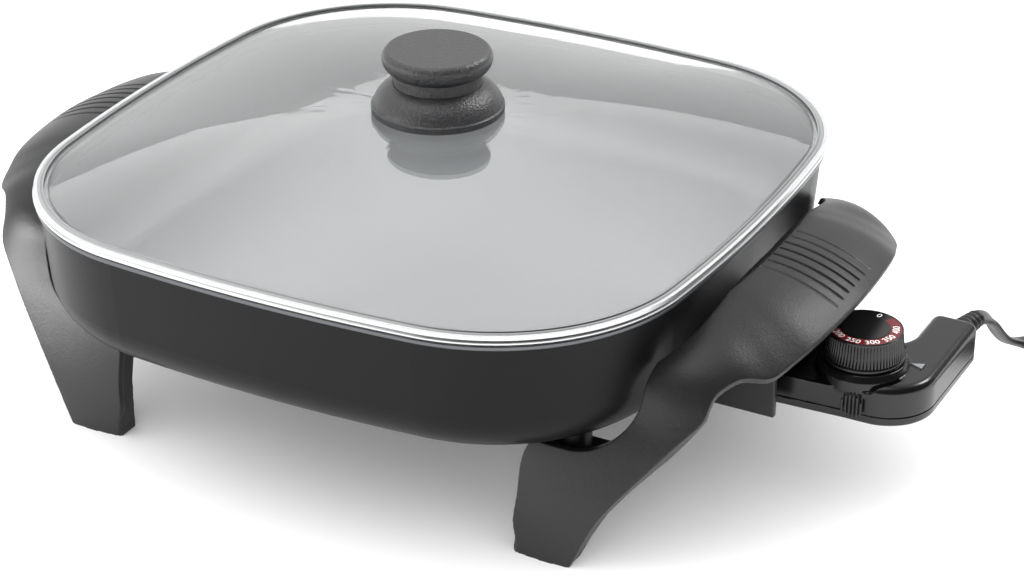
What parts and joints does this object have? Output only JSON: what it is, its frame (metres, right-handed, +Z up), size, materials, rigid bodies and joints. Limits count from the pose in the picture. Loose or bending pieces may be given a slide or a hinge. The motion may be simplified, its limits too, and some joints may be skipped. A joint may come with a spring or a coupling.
{
  "type": "electric skillet",
  "caption": "Square electric skillet with bowed sides, wrap-around leg handles, lift-off glass lid with knob, and a plug-in dial control with a coiled lead.",
  "frame": {"origin": "on the table surface, under the middle of the appliance's bounding box (from grip to control end, without the cord)", "axes": "+X from the pan towards the temperature control and its end, +Y towards the side that the cord leaves by, +Z up; the viewer's front-left is -Y"},
  "size_m": [0.5231, 0.3537, 0.1627],
  "materials": {
    "pan_coat": "satin baked coating",
    "element_sheath": "satin",
    "pin_metal": "bright nickel",
    "ceramic": "glazed, light",
    "guard_plastic": "fine grain",
    "screw_steel": "zinc plated",
    "handle_plastic": "fine moulded grain",
    "lid_glass": "clear polished",
    "rim_steel": "fine lines along the band",
    "knob_plastic": "fine moulded grain",
    "silicone": "soft",
    "control_plastic": "polished moulding",
    "probe_steel": "satin",
    "spring_brass": "satin",
    "block_phenolic": "dull",
    "contact_silver": "bright",
    "lens_plastic": "clear, light grey",
    "lamp_glass": "clear",
    "cord_rubber": "satin",
    "dial_plastic": "polished moulding",
    "dial_red": "printed",
    "shaft_plastic": "plain"
  },
  "bodies": {
    "skillet": {"pan": "pan_coat", "heating_element": "element_sheath", "terminal_pins": "pin_metal", "terminal_insulators": "ceramic", "terminal_guard": "guard_plastic", "guard_screws": "screw_steel", "handle_right": "handle_plastic", "handle_left": "handle_plastic", "handle_screws": "screw_steel", "handle_washers": "screw_steel"},
    "lid": {"lid_glass": "lid_glass", "lid_rim": "rim_steel", "knob_base": "knob_plastic", "lid_knob": "knob_plastic", "lid_screw": "screw_steel", "lid_washer": "screw_steel", "lid_gasket": "silicone"},
    "control": {"control_top": "control_plastic", "control_base": "control_plastic", "control_screws": "screw_steel", "probe_tube": "probe_steel", "terminal_sockets": "spring_brass", "contact_block": "block_phenolic", "thermostat_blades": "spring_brass", "thermostat_contacts": "contact_silver", "pointer_lens": "lens_plastic", "pilot_lamp": "lamp_glass", "cord_relief": "cord_rubber", "power_cord": "cord_rubber", "cord_coil": "cord_rubber", "mains_plug": "cord_rubber", "plug_prongs": "pin_metal"},
    "dial": {"dial_knob": "dial_plastic", "dial_ring": "dial_red", "dial_disc": "dial_plastic", "dial_shaft": "shaft_plastic"}
  },
  "joints": [
    {"name": "lid_lift", "type": "slide", "parent": "skillet", "child": "lid", "axis": [0, 0, 1], "range_m": [0, 0.15]},
    {"name": "control_unplug", "type": "slide", "parent": "skillet", "child": "control", "axis": [1, 0, 0], "range_m": [0, 0.1]},
    {"name": "dial_turn", "type": "hinge", "parent": "control", "child": "dial", "pos_m": [0.1875, 0, 0.064], "axis": [0, 0, 1], "range_deg": [0, 300]}
  ]
}
